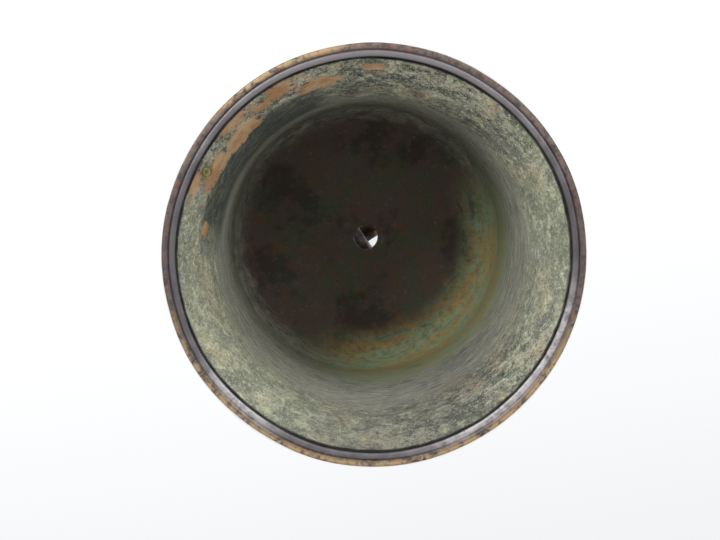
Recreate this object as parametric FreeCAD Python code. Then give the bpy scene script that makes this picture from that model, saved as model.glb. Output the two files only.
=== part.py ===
import FreeCAD, Part
import math
import os

# A temple bell, mouth down. The origin is the centre of the mouth, on the plane that the lip rests on.
# +Z runs up the axis to the crown, and the hanging loop spans X.

# Lip ring: a worn band outside, a roll inside, and a rebate that the body's edge sits in
mouth_radius = 120.0
lip_height = 13.0
lip_foot_width = 2.0
lip_edge_round = 1.4
lip_band_width = 4.0
valley_depth = 1.3
roll_width = 3.9
roll_lift = 0.5               # the roll stops short of the plane that the band rests on
rebate_height = 4.0
seam_width = 0.9              # how far the wall stands inside the roll
seam_height = 1.0             # open crevice between the rebate and the body's edge
edge_seat = 2.2               # width of the body's edge
lip_ledge = 1.6               # flat on top of the ring that the skirt comes down on

# Body: flared skirt, nearly straight waist, round shoulder, flat crown
inner_skirt_height = 45.0
outer_skirt_height = 55.0
waist_foot_radius = 97.0
waist_top_radius = 94.0
shoulder_height = 180.0
shoulder_round = 24.0
wall = 7.0
vent_radius = 8.0

# Relief, cast with the body
cord_radius = 1.2
cord_heights = (24.0, 29.0)
belt_height = 9.0
belt_proud = 1.4
belt_edge = 1.8
lower_belt_gap = 3.0          # above the top of the skirt
middle_belt_gap = 27.0        # above the lower belt
upper_belt_gap = 5.0          # below the shoulder
upright_count = 4
upright_width = 13.0
knob_rows = 3
knob_columns = 4
knob_radius = 3.4
knob_root = 1.6               # how high a knob stands before it tapers
knob_height = 3.6
knob_tip_radius = 2.0
knob_margin = 5.0             # between the outer knobs' edges and the uprights
disc_azimuths = (90.0, 270.0)
disc_radius = 13.0
disc_height = 3.4
disc_eye_radius = 6.0
disc_eye_height = 1.6
crown_ring_radius = 54.0
crown_ring_width = 4.0
crown_ring_height = 2.0

# Casting plug
plug_radius = 2.7
plug_depth = 4.0
plug_height = 9.0
plug_azimuth = 239.6

# Hanging ring
ring_radius = 24.0
ring_bar = 4.0
ring_offset = -4.0            # where it hangs along the loop's bar
ring_gap = 0.3                # between the ring and the bar it hangs on
ring_crown_gap = 3.8

# Hanging loop
loop_bar = 6.5
loop_straight = 16.0
loop_bend = 16.0
foot_radius = 10.5
foot_height = 9.0
tenon_radius = 5.0
tenon_floor = 2.0             # metal left under the tenon

# Worked out from the sizes above
valley_radius = mouth_radius - lip_band_width
roll_radius = valley_radius - roll_width
wall_foot_radius = roll_radius - seam_width
seat_radius = wall_foot_radius + edge_seat
edge_height = rebate_height + seam_height
crown_radius = waist_top_radius - shoulder_round
crown_top = shoulder_height + shoulder_round
inner_round = shoulder_round - wall
crown_under = crown_top - wall
lower_belt = outer_skirt_height + lower_belt_gap
middle_belt = lower_belt + belt_height + middle_belt_gap
upper_belt = shoulder_height - upper_belt_gap - belt_height
ring_swing_radius = loop_bar + ring_gap + ring_bar
ring_reach = 2 * ring_radius - ring_swing_radius + ring_bar
hinge_height = crown_top + ring_crown_gap + ring_reach
leg_offset = loop_straight / 2 + loop_bend
tenon_depth = wall - tenon_floor
relief_root = wall / 2        # how deep the relief is rooted in the wall
root_radius = waist_top_radius - relief_root
# A skirt is its foot's radius and height, then its top's
inner_skirt = (wall_foot_radius, edge_height, waist_foot_radius - wall, inner_skirt_height)
outer_skirt = (seat_radius + lip_ledge, lip_height, waist_foot_radius, outer_skirt_height)

up = FreeCAD.Vector(0, 0, 1)
origin = FreeCAD.Vector(0, 0, 0)


def spot(r, z):
    return FreeCAD.Vector(r, 0, z)


def turned(start, *steps):
    """Turn an outline about the axis. A step is (r, z) for a line, or (r, z, r, z) for an arc via a point."""
    edges = []
    here = spot(*start)
    for step in steps + (start,):
        there = spot(*step[-2:])
        if len(step) == 4:
            edges.append(Part.Arc(here, spot(*step[:2]), there).toShape())
        else:
            edges.append(Part.LineSegment(here, there).toShape())
        here = there
    return Part.Face(Part.Wire(edges)).revolve(origin, up, 360)


def flare_radius(foot_r, foot_z, top_r, top_z):
    """The radius of a skirt's curve, which runs upright into the waist at its top."""
    width = foot_r - top_r
    height = top_z - foot_z
    return (width ** 2 + height ** 2) / (2 * width)


def flare(foot_r, foot_z, top_r, top_z):
    """The arc step from a skirt's foot to its top."""
    radius = flare_radius(foot_r, foot_z, top_r, top_z)
    half = math.atan2(foot_r - top_r, top_z - foot_z)
    return top_r + radius * (1 - math.cos(half)), top_z - radius * math.sin(half), top_r, top_z


def flare_at(z, foot_r, foot_z, top_r, top_z):
    """A skirt's radius at a height."""
    radius = flare_radius(foot_r, foot_z, top_r, top_z)
    return top_r + radius - math.sqrt(radius ** 2 - (top_z - z) ** 2)


def quarter(centre_r, centre_z, radius, start, end):
    """The arc step round a centre between two angles in degrees, measured from outward towards up."""
    points = []
    for angle in (math.radians((start + end) / 2), math.radians(end)):
        points += [centre_r + radius * math.cos(angle), centre_z + radius * math.sin(angle)]
    return tuple(points)


def waist_radius(z):
    share = (z - outer_skirt_height) / (shoulder_height - outer_skirt_height)
    return waist_foot_radius + share * (waist_top_radius - waist_foot_radius)


def radial(azimuth, z, r_from, r_to, radius, end_radius=None):
    """A cylinder, or a cone where an end radius is given, that points straight out at an azimuth."""
    angle = math.radians(azimuth)
    out = FreeCAD.Vector(math.cos(angle), math.sin(angle), 0)
    if end_radius is None:
        return Part.makeCylinder(radius, r_to - r_from, out * r_from + up * z, out)
    return Part.makeCone(radius, end_radius, r_to - r_from, out * r_from + up * z, out)


def one_solid(shape):
    """The shape's only solid. More or fewer means that the sizes no longer go together."""
    if len(shape.Solids) != 1:
        raise ValueError(f"{len(shape.Solids)} solids where one was expected")
    return shape.Solids[0]


def plain_body():
    """The casting before its relief, vent and sockets."""
    return turned(
        inner_skirt[:2],
        flare(*inner_skirt),
        (waist_top_radius - wall, shoulder_height),
        quarter(crown_radius, shoulder_height, inner_round, 0, 90),
        (vent_radius, crown_under), (vent_radius, crown_top), (crown_radius, crown_top),
        quarter(crown_radius, shoulder_height, shoulder_round, 90, 0),
        (waist_foot_radius, outer_skirt_height),
        flare(*outer_skirt)[:2] + outer_skirt[:2],
        (seat_radius, lip_height), (seat_radius, edge_height))


def cords():
    return [Part.makeTorus(flare_at(z, *outer_skirt), cord_radius, up * z) for z in cord_heights]


def belt(foot):
    """A flat belt round the waist with a raised edge along its top and its foot."""
    face = waist_radius(foot) + belt_proud / 2
    edge = waist_radius(foot) + belt_proud
    top = foot + belt_height
    return turned(
        (root_radius, foot), (edge, foot), (edge, foot + belt_edge), (face, foot + belt_edge),
        (face, top - belt_edge), (edge, top - belt_edge), (edge, top), (root_radius, top))


def upright(azimuth):
    """A flat strip up the waist from the lower belt to the upper one."""
    foot = lower_belt + belt_height / 2
    top = upper_belt + belt_height / 2
    proud = belt_proud / 2
    sleeve = turned(
        (root_radius, foot), (waist_radius(foot) + proud, foot),
        (waist_radius(top) + proud, top), (root_radius, top))
    slab = Part.makeBox(mouth_radius, upright_width, top - foot, FreeCAD.Vector(0, -upright_width / 2, foot))
    slab.rotate(origin, up, azimuth)
    return sleeve.common(slab)


def knobs():
    """Rows of blunt knobs in each panel between the middle and the upper belt."""
    low = middle_belt + belt_height
    pitch = (upper_belt - low) / knob_rows
    step = 360.0 / upright_count
    margin = math.degrees((upright_width / 2 + knob_margin + knob_radius) / waist_top_radius)
    pieces = []
    for panel in range(upright_count):
        for row in range(knob_rows):
            z = low + (row + 0.5) * pitch
            surface = waist_radius(z)
            taper = surface + knob_root
            for column in range(knob_columns):
                azimuth = panel * step + margin + column * (step - 2 * margin) / (knob_columns - 1)
                root = radial(azimuth, z, surface - relief_root, taper, knob_radius)
                tip = radial(azimuth, z, taper, surface + knob_height, knob_radius, knob_tip_radius)
                pieces.append(root.fuse(tip))
    return pieces


def striking_discs():
    """Round discs where the mallet strikes, at the crossings of the middle belt and two uprights."""
    z = middle_belt + belt_height / 2
    surface = waist_radius(z)
    pieces = []
    for azimuth in disc_azimuths:
        pieces.append(radial(azimuth, z, surface - relief_root, surface + disc_height, disc_radius))
        eye_top = surface + disc_height + disc_eye_height
        pieces.append(radial(azimuth, z, surface, eye_top, disc_eye_radius))
    return pieces


def crown_ring():
    inner = crown_ring_radius - crown_ring_width / 2
    outer = crown_ring_radius + crown_ring_width / 2
    foot = crown_top - relief_root
    top = crown_top + crown_ring_height
    return turned((inner, foot), (outer, foot), (outer, top), (inner, top))


def plug_space():
    """The round pocket that the plug fills, sunk square to the axis from the open air inside."""
    surface = flare_at(plug_height, *inner_skirt)
    return radial(plug_azimuth, plug_height, surface - 2 * plug_radius, surface + plug_depth, plug_radius)


def tenon_sockets():
    floor = crown_top - tenon_depth
    return [Part.makeCylinder(tenon_radius, tenon_depth, spot(side * leg_offset, floor)) for side in (1, -1)]


def bell_shell(body):
    relief = cords() + [belt(foot) for foot in (lower_belt, middle_belt, upper_belt)]
    relief += [upright(360.0 / upright_count * n) for n in range(upright_count)]
    relief += knobs() + striking_discs() + [crown_ring()]
    shell = body.fuse(relief).removeSplitter()
    return one_solid(shell.cut(tenon_sockets() + [plug_space()]))


def casting_plug(body):
    return one_solid(body.common(plug_space()))


def lip_ring():
    """The band and the roll in one piece, with the rebate that the body's edge sits in."""
    bulge = lip_edge_round * (1 - math.sqrt(0.5))
    foot_out = mouth_radius - lip_edge_round
    roll_middle = (valley_radius + roll_radius) / 2
    return turned(
        (seat_radius, rebate_height), (roll_radius, rebate_height), (roll_radius, roll_lift + roll_width / 2),
        (roll_middle, roll_lift, valley_radius, valley_depth),
        (foot_out - lip_foot_width, 0), (foot_out, 0),
        (mouth_radius - bulge, bulge, mouth_radius, lip_edge_round),
        (mouth_radius, lip_height - 2 * lip_edge_round),
        (foot_out, lip_height - lip_edge_round / 2, mouth_radius - 2 * lip_edge_round, lip_height),
        (seat_radius, lip_height))


def hanging_loop():
    """A round bar bent to a staple, with a spread foot and a tenon at the end of each leg."""
    bend_z = hinge_height - loop_bend
    half = loop_straight / 2
    slant = loop_bend * math.sqrt(0.5)
    corners = [FreeCAD.Vector(side * (half + slant), 0, bend_z + slant) for side in (-1, 1)]
    path = Part.Wire([
        Part.LineSegment(spot(-leg_offset, crown_top), spot(-leg_offset, bend_z)).toShape(),
        Part.Arc(spot(-leg_offset, bend_z), corners[0], spot(-half, hinge_height)).toShape(),
        Part.LineSegment(spot(-half, hinge_height), spot(half, hinge_height)).toShape(),
        Part.Arc(spot(half, hinge_height), corners[1], spot(leg_offset, bend_z)).toShape(),
        Part.LineSegment(spot(leg_offset, bend_z), spot(leg_offset, crown_top)).toShape()])
    section = Part.Wire([Part.Circle(spot(-leg_offset, crown_top), up, loop_bar).toShape()])
    loop = path.makePipeShell([section], True, True)
    legs = [spot(side * leg_offset, crown_top) for side in (1, -1)]
    feet = [Part.makeCone(foot_radius, loop_bar, foot_height, leg) for leg in legs]
    return one_solid(loop.fuse(feet + tenon_sockets()).removeSplitter())


def hanging_ring():
    """Hangs with the inside of its top on the loop's bar, across it."""
    centre = FreeCAD.Vector(ring_offset, 0, hinge_height - (ring_radius - ring_swing_radius))
    return Part.makeTorus(ring_radius, ring_bar, centre, FreeCAD.Vector(1, 0, 0))


os.makedirs("parts", exist_ok=True)
body = plain_body()
nodes = {
    "bell_shell": bell_shell(body),
    "lip_ring": lip_ring(),
    "hanging_loop": hanging_loop(),
    "hanging_ring": hanging_ring(),
    "casting_plug": casting_plug(body),
}
for name, shape in nodes.items():
    print(f"{name}: {len(shape.Solids)} solids, {shape.Volume / 1000:.2f} cm3, valid {shape.isValid()}")
    shape.exportStep(f"parts/{name}.step")
print(f"crown top {crown_top:.2f}, hinge {hinge_height:.2f}, vent from {crown_under:.2f}")
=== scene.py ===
import bpy
import math
from mathutils import Matrix, Vector


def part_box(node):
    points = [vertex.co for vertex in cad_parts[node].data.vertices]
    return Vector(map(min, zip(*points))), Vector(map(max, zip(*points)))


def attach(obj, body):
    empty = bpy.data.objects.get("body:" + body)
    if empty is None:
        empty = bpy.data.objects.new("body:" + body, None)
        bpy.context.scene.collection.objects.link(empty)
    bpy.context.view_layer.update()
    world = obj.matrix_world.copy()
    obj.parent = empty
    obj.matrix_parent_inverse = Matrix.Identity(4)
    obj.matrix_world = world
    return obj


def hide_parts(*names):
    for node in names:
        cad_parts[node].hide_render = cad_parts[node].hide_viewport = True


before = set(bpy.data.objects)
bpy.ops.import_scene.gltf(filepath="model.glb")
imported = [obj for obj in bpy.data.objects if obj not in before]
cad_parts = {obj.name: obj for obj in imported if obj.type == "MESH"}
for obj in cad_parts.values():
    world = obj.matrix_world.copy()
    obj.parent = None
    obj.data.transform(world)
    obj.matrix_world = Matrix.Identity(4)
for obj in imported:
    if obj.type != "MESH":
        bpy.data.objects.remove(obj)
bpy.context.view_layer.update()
print("stage: frame loaded")

mm = 0.001
mergeWithin = 0.02 * mm       # points nearer than this become one point
weldWithin = 0.002 * mm       # after a weld, only points that all but coincide
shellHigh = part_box("bell_shell")[1]
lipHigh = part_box("lip_ring")[1]
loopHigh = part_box("hanging_loop")[1]
ringLow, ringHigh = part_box("hanging_ring")
plugLow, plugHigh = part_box("casting_plug")
mouthRadius = round(lipHigh.x, 4)


def deselectAll():
    if bpy.context.object and bpy.context.object.mode != "OBJECT":
        bpy.ops.object.mode_set(mode="OBJECT")
    bpy.ops.object.select_all(action="DESELECT")


def makeActive(piece):
    deselectAll()
    piece.select_set(True)
    bpy.context.view_layer.objects.active = piece


def settle(piece):
    # the place goes into the mesh, and the object goes back to the origin
    makeActive(piece)
    bpy.ops.object.transform_apply(location=True, rotation=True, scale=True)


def namePiece(name):
    piece = bpy.context.object
    piece.name = piece.data.name = name
    return piece


def selectWhere(piece, parts, kind, test):
    # picks faces or points by their place, and leaves the piece in edit mode
    makeActive(piece)
    bpy.ops.object.mode_set(mode="EDIT")
    bpy.ops.mesh.select_mode(type=kind)
    bpy.ops.mesh.select_all(action="DESELECT")
    bpy.ops.object.mode_set(mode="OBJECT")
    for part in getattr(piece.data, parts):
        part.select = bool(test(part))
    bpy.ops.object.mode_set(mode="EDIT")


def selectFaces(piece, test):
    selectWhere(piece, "polygons", "FACE", test)


def selectPoints(piece, test):
    selectWhere(piece, "vertices", "VERT", test)


def leaveEdit():
    bpy.ops.object.mode_set(mode="OBJECT")


def extrude(x, y, z):
    bpy.ops.mesh.extrude_region_move(TRANSFORM_OT_translate={"value": (x, y, z)})


def turnOutline(name, points, steps, sweep=2 * math.pi, filled=False):
    # one point is drawn out along a closed outline of (radius, height), and the outline is spun about Z
    deselectAll()
    bpy.ops.mesh.primitive_plane_add(size=mm, location=(points[0][0], 0, points[0][1]))
    piece = namePiece(name)
    settle(piece)
    bpy.ops.object.mode_set(mode="EDIT")
    bpy.ops.mesh.select_all(action="SELECT")
    bpy.ops.mesh.merge(type="CENTER")
    for here, there in zip(points, points[1:]):
        extrude(there[0] - here[0], 0, there[1] - here[1])
    leaveEdit()
    piece.data.vertices[0].select = True
    bpy.ops.object.mode_set(mode="EDIT")
    bpy.ops.mesh.edge_face_add()
    bpy.ops.mesh.select_all(action="SELECT")
    if filled:
        bpy.ops.mesh.edge_face_add()
    bpy.ops.mesh.spin(steps=steps, angle=sweep, center=(0, 0, 0), axis=(0, 0, 1))
    bpy.ops.mesh.select_all(action="SELECT")
    bpy.ops.mesh.remove_doubles(threshold=mergeWithin)
    bpy.ops.mesh.normals_make_consistent(inside=False)
    leaveEdit()
    return piece


def turnedCopy(piece, degrees):
    # a copy with its own mesh, turned about the bell's axis
    copy = piece.copy()
    copy.data = piece.data.copy()
    bpy.context.scene.collection.objects.link(copy)
    copy.matrix_world = Matrix.Rotation(math.radians(degrees), 4, "Z")
    settle(copy)
    return copy


def joinAll(name, pieces):
    deselectAll()
    for piece in pieces:
        piece.select_set(True)
    bpy.context.view_layer.objects.active = pieces[0]
    bpy.ops.object.join()
    return namePiece(name)


def weld(piece, other, operation="UNION"):
    # one casting out of two overlapping shapes, or a socket cut by the other shape
    makeActive(piece)
    modifier = piece.modifiers.new("weld", "BOOLEAN")
    modifier.operation = operation
    modifier.solver = "EXACT"
    modifier.object = other
    bpy.ops.object.modifier_apply(modifier="weld")
    bpy.data.objects.remove(other)
    bpy.ops.object.mode_set(mode="EDIT")
    bpy.ops.mesh.select_all(action="SELECT")
    bpy.ops.mesh.remove_doubles(threshold=weldWithin)
    leaveEdit()


def rod(name, radius, start, end, sides=36):
    # a plain cylinder between two places
    start, end = Vector(start), Vector(end)
    deselectAll()
    bpy.ops.mesh.primitive_cylinder_add(
        vertices=sides, radius=radius, depth=(end - start).length, location=(start + end) / 2,
        rotation=(end - start).to_track_quat("Z", "Y").to_euler())
    piece = namePiece(name)
    settle(piece)
    return piece


def smooth(piece, degrees):
    makeActive(piece)
    bpy.ops.object.shade_smooth_by_angle(angle=math.radians(degrees))


def roughen(piece, name, grain, depth, group=""):
    # cloudy unevenness that only goes into the metal
    texture = bpy.data.textures.new(name, "CLOUDS")
    texture.noise_scale = grain
    texture.noise_depth = 3
    makeActive(piece)
    modifier = piece.modifiers.new(name, "DISPLACE")
    modifier.texture = texture
    modifier.texture_coords = "LOCAL"
    modifier.strength = -depth
    modifier.mid_level = 0
    modifier.vertex_group = group
    bpy.ops.object.modifier_apply(modifier=name)


def pushIn(piece, degrees, depth, reach, upTo, outTo):
    # a shallow knock towards the axis with a soft edge
    angle = math.radians(degrees)
    out = Vector((math.cos(angle), math.sin(angle)))
    near = math.radians(2)
    selectPoints(piece, lambda p: p.co.z < upTo and p.co.xy.length < outTo and p.co.xy.angle(out) < near)
    bpy.ops.transform.translate(
        value=(-depth * out.x, -depth * out.y, 0), use_proportional_edit=True,
        proportional_edit_falloff="SMOOTH", proportional_size=reach)
    leaveEdit()


def arc(centre, radius, start, end, count):
    # points round a centre, in degrees from outward towards up
    points = []
    for n in range(count + 1):
        angle = math.radians(start + (end - start) * n / count)
        points.append((centre[0] + radius * math.cos(angle), centre[1] + radius * math.sin(angle)))
    return points


def line(start, end, count):
    points = []
    for n in range(count + 1):
        share = n / count
        points.append((start[0] + (end[0] - start[0]) * share, start[1] + (end[1] - start[1]) * share))
    return points


bodySizes = {
    "steps": 280, "wall": 7 * mm, "ventRadius": 8 * mm, "ventRound": 0.7 * mm,
    "edgeHeight": 5 * mm, "edgeRadius": 111.2 * mm, "seatRadius": 113.4 * mm,
    "skirtFoot": (115 * mm, 13 * mm), "skirtTop": (97 * mm, 55 * mm), "innerSkirtTop": 45 * mm,
    "waistTop": (94 * mm, 180 * mm), "shoulder": 24 * mm,
    "belts": (58 * mm, 94 * mm, 166 * mm), "beltHeight": 9 * mm, "beltEdge": 1.8 * mm, "beltProud": 1.4 * mm,
    "cords": (24 * mm, 29 * mm), "cordRadius": 1.2 * mm,
    "crownRing": 54 * mm, "crownRingHalf": 2 * mm, "crownRingHeight": 2 * mm,
    "innerGrain": 9 * mm, "innerDepth": 0.5 * mm, "outerGrain": 24 * mm, "outerDepth": 0.25 * mm,
    "ventFlat": 3 * mm, "cordLean": (0.9, 0.3), "seatSlack": 0.1 * mm,
    # how many points each stretch of the outline gets
    "count": {"skirt": 60, "innerSkirt": 26, "innerWaist": 60, "innerShoulder": 12, "innerCrown": 26,
              "crown": 10, "crownEdge": 4, "shoulder": 14, "betweenBelts": 8, "overBelts": 2, "belt": 3},
}
crownTop = shellHigh.z - bodySizes["crownRingHeight"]
crownRadius = bodySizes["waistTop"][0] - bodySizes["shoulder"]
innerTop = (bodySizes["skirtTop"][0] - bodySizes["wall"], bodySizes["innerSkirtTop"])
innerFoot = (bodySizes["edgeRadius"], bodySizes["edgeHeight"])


def flareRadius(foot, top):
    # the curve of a skirt, which runs upright into the waist
    width = foot[0] - top[0]
    return (width ** 2 + (top[1] - foot[1]) ** 2) / (2 * width)


def flareAt(z, foot, top):
    radius = flareRadius(foot, top)
    return top[0] + radius - math.sqrt(radius ** 2 - (top[1] - min(z, top[1])) ** 2)


def flarePoints(foot, top, count):
    radius = flareRadius(foot, top)
    sweep = math.degrees(math.asin((top[1] - foot[1]) / radius))
    return arc((top[0] + radius, top[1]), radius, 180 + sweep, 180, count)


def waistRadius(z):
    foot, top = bodySizes["skirtTop"], bodySizes["waistTop"]
    return foot[0] + (top[0] - foot[0]) * (z - foot[1]) / (top[1] - foot[1])


def innerRadius(z):
    if z > innerTop[1]:
        share = (z - innerTop[1]) / (bodySizes["waistTop"][1] - innerTop[1])
        return innerTop[0] + share * (bodySizes["waistTop"][0] - bodySizes["wall"] - innerTop[0])
    return flareAt(z, innerFoot, innerTop)


def beltPoints(foot):
    # a flat face with a rounded bead along its foot and its top
    s = bodySizes
    top = foot + s["beltHeight"]
    bead = s["beltEdge"] / 2
    points = [(waistRadius(foot), foot)]
    for middle in (foot + bead, top - bead):
        for degrees in (30, 60, 90, 120, 150):
            angle = math.radians(degrees)
            z = middle - bead * math.cos(angle)
            points.append((waistRadius(z) + s["beltProud"] * math.sin(angle), z))
        if middle < foot + s["beltHeight"] / 2:
            low, high = foot + s["beltEdge"], top - s["beltEdge"]
            face = s["beltProud"] / 2
            steps = s["count"]["belt"]
            points += line((waistRadius(low) + face, low), (waistRadius(high) + face, high), steps)
    return points + [(waistRadius(top), top)]


def cordedSkirt():
    # the skirt's outside from its foot up, with half-round cords on it
    s = bodySizes
    points = []
    outward, upward = s["cordLean"]
    for r, z in flarePoints(s["skirtFoot"], s["skirtTop"], s["count"]["skirt"]):
        rise = 0
        for height in s["cords"]:
            away = abs(z - height) / s["cordRadius"]
            if away < 1:
                rise = s["cordRadius"] * math.sqrt(1 - away ** 2)
        points.append((r + rise * outward, z + rise * upward))
    return points


def bodyOutline():
    s = bodySizes
    topZ = s["waistTop"][1]
    under = crownTop - s["wall"]
    count = s["count"]
    points = flarePoints(innerFoot, innerTop, count["innerSkirt"])
    points += line(innerTop, (s["waistTop"][0] - s["wall"], topZ), count["innerWaist"])[1:]
    points += arc((crownRadius, topZ), s["shoulder"] - s["wall"], 0, 90, count["innerShoulder"])[1:]
    vent, ventRound = s["ventRadius"], s["ventRound"]
    points += line((crownRadius, under), (vent + ventRound, under), count["innerCrown"])[1:]
    points += arc((vent + ventRound, under + ventRound), ventRound, 225, 180, 2)
    points += arc((vent + ventRound, crownTop - ventRound), ventRound, 180, 90, 4)
    ringIn, ringOut = s["crownRing"] - s["crownRingHalf"], s["crownRing"] + s["crownRingHalf"]
    points += line((vent + s["ventFlat"], crownTop), (ringIn, crownTop), count["crown"])
    for share in (0.12, 0.3, 0.5, 0.7, 0.88):
        rise = s["crownRingHeight"] * math.sin(math.pi * share)
        points.append((ringIn + share * (ringOut - ringIn), crownTop + rise))
    points += line((ringOut, crownTop), (crownRadius, crownTop), count["crownEdge"])
    points += arc((crownRadius, topZ), s["shoulder"], 90, 0, count["shoulder"])[1:]
    outside = cordedSkirt()
    here = s["skirtTop"][1]
    for foot in s["belts"]:
        low, high = here + mm, foot - mm
        outside += line((waistRadius(low), low), (waistRadius(high), high), count["betweenBelts"])
        outside += beltPoints(foot)
        here = foot + s["beltHeight"]
    low, high = here + mm, topZ - mm
    outside += line((waistRadius(low), low), (waistRadius(high), high), count["overBelts"])
    points += outside[::-1]
    return points + [(s["seatRadius"], s["skirtFoot"][1]), (s["seatRadius"], s["edgeHeight"])]


def isInside(place):
    # true for the inner wall and the underside of the crown
    s = bodySizes
    reach = place.xy.length
    topZ = s["waistTop"][1]
    if place.z < s["skirtFoot"][1]:
        return reach < s["seatRadius"] - s["seatSlack"]
    if place.z < s["skirtTop"][1]:
        return reach < (innerRadius(place.z) + flareAt(place.z, s["skirtFoot"], s["skirtTop"])) / 2
    if place.z < topZ:
        return reach < waistRadius(place.z) - s["wall"] / 2
    return math.hypot(max(reach - crownRadius, 0), place.z - topZ) < s["shoulder"] - s["wall"] / 2


body = turnOutline("bell_body", bodyOutline(), bodySizes["steps"])
insideGroup = body.vertex_groups.new(name="inside")
insideGroup.add([p.index for p in body.data.vertices if isInside(p.co)], 1.0, "REPLACE")
outsideGroup = body.vertex_groups.new(name="outside")
footHeight = bodySizes["skirtFoot"][1]
outsidePoints = [p.index for p in body.data.vertices if not isInside(p.co) and p.co.z > footHeight]
outsideGroup.add(outsidePoints, 1.0, "REPLACE")
roughen(body, "innerCast", bodySizes["innerGrain"], bodySizes["innerDepth"], "inside")
roughen(body, "outerCast", bodySizes["outerGrain"], bodySizes["outerDepth"], "outside")
print("stage: body turned")


lipSizes = {
    "steps": 360, "height": 13 * mm, "edgeRound": 1.4 * mm, "valley": (116 * mm, 1.1 * mm),
    "rollWidth": 3.9 * mm, "rollLift": 0.5 * mm, "rollFlat": 0.45,
    "rebate": 4 * mm, "foot": 2 * mm, "shoulder": 2.8 * mm, "grain": 7 * mm, "depth": 0.2 * mm,
    # where the mouth was knocked out of round: azimuth, depth, reach
    "knocks": ((-31, 0.7 * mm, 60 * mm), (158, 0.6 * mm, 50 * mm),
               (95, 0.35 * mm, 45 * mm), (-120, 0.3 * mm, 40 * mm)),
    # where the roll alone wanders: azimuth, depth
    "wander": ((12, -0.3 * mm), (75, 0.35 * mm), (140, -0.25 * mm),
               (200, 0.3 * mm), (-70, 0.3 * mm), (-35, -0.3 * mm)),
    "wanderReach": 24 * mm, "knockTop": 16 * mm,
}


def lipOutline():
    # the roll is a flattened round, and the band beside it comes down to a narrow flat
    s = lipSizes
    seat = bodySizes["seatRadius"]
    half = s["rollWidth"] / 2
    valleyR, valleyZ = s["valley"]
    middle = valleyR - half
    points = [(seat, s["rebate"]), (middle - half + 0.3 * mm, s["rebate"])]
    for degrees in range(180, 346, 11):
        angle = math.radians(degrees)
        flat = abs(math.sin(angle)) ** s["rollFlat"]
        points.append((middle + half * math.cos(angle), s["rollLift"] + half * (1 - flat)))
    points.append((valleyR, valleyZ))
    footIn = mouthRadius - s["edgeRound"] - s["foot"]
    points += [(footIn - 0.3 * mm, 0.5 * mm), (footIn, 0.12 * mm), (footIn + 0.4 * mm, 0)]
    points += arc((mouthRadius - s["edgeRound"], s["edgeRound"]), s["edgeRound"], 270, 360, 7)
    points += line((mouthRadius, 3 * mm), (mouthRadius, s["height"] - s["shoulder"] - 0.8 * mm), 4)
    points += arc((mouthRadius - s["shoulder"], s["height"] - s["shoulder"]), s["shoulder"], 0, 90, 7)
    return points + [(seat + 1.7 * mm, s["height"]), (seat, s["height"])]


lip = turnOutline("lip_band_and_roll", lipOutline(), lipSizes["steps"])
roughen(lip, "lipHandwork", lipSizes["grain"], lipSizes["depth"])
for degrees, depth, reach in lipSizes["knocks"]:
    for piece in (lip, body):
        pushIn(piece, degrees, depth, reach, lipSizes["knockTop"], 2 * mouthRadius)
for degrees, depth in lipSizes["wander"]:
    rollEdge = lipSizes["valley"][0] - mm
    pushIn(lip, degrees, depth, lipSizes["wanderReach"], lipSizes["knockTop"], rollEdge)
smooth(lip, 50)
print("stage: lip ring")


reliefSizes = {
    "sink": 2 * mm,
    "uprights": 4, "uprightWidth": 13 * mm, "uprightProud": 0.7 * mm,
    "ribWidth": 1.8 * mm, "ribProud": 1.3 * mm,
    "knobRows": 3, "knobColumns": 4, "knobRadius": 3.4 * mm, "knobHeight": 3.6 * mm, "knobMargin": 5 * mm,
    "knobSides": 20, "knobFoot": 0.25, "knobInset": 0.5 * mm, "stripStep": 1.8 * mm,
    # each step of a knob: how far out, as a share of its height, and how wide against the step before
    "knobSteps": ((0.14, 0.97), (0.18, 1.12), (0.2, 0.88), (0.13, 0.62), (0.03, 0.3)),
    "discRadius": 13 * mm, "discHeight": 3.4 * mm, "discEye": 6 * mm, "discFace": 0.5, "eyeFace": 0.8,
    "discSides": 64, "eyeSides": 40, "discTurns": (90, 270),
    # each step of a disc and of its eye: how far out, then how far in
    "discSteps": ((0, 0.5 * mm), (0.6 * mm, 0.3 * mm), (0.2 * mm, 0.9 * mm), (-0.9 * mm, 0.3 * mm)),
    "eyeSteps": ((0.7 * mm, 0.6 * mm), (0.7 * mm, 1.2 * mm), (0.5 * mm, 1.6 * mm)),
}
panelStep = 360 / reliefSizes["uprights"]


def strip(name, azimuth, width, foot, top, proud):
    # a bar that follows the waist round, with its back sunk in the wall
    s = reliefSizes
    middle = waistRadius((foot + top) / 2)
    sweep = width / middle
    back = [(waistRadius(top) - s["sink"], top), (waistRadius(foot) - s["sink"], foot)]
    front = line((waistRadius(foot) + proud, foot), (waistRadius(top) + proud, top), 10)
    piece = turnOutline(name, back + front, max(2, round(width / s["stripStep"])), sweep, filled=True)
    # a spin turns clockwise seen from above
    piece.matrix_world = Matrix.Rotation(math.radians(azimuth) + sweep / 2, 4, "Z")
    settle(piece)
    return piece


def allPanels(first):
    return [first] + [turnedCopy(first, panelStep * n) for n in range(1, reliefSizes["uprights"])]


def uprightStrips():
    s = reliefSizes
    foot = bodySizes["belts"][0] + bodySizes["beltHeight"] / 2
    top = bodySizes["belts"][2] + bodySizes["beltHeight"] / 2
    face = strip("upright", 0, s["uprightWidth"], foot, top, s["uprightProud"])
    offset = math.degrees((s["uprightWidth"] - s["ribWidth"]) / 2 / waistRadius((foot + top) / 2))
    foot += bodySizes["beltHeight"] / 2
    top -= bodySizes["beltHeight"] / 2
    for side in (1, -1):
        weld(face, strip("rib", side * offset, s["ribWidth"], foot, top, s["ribProud"]))
    return allPanels(face)


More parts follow.
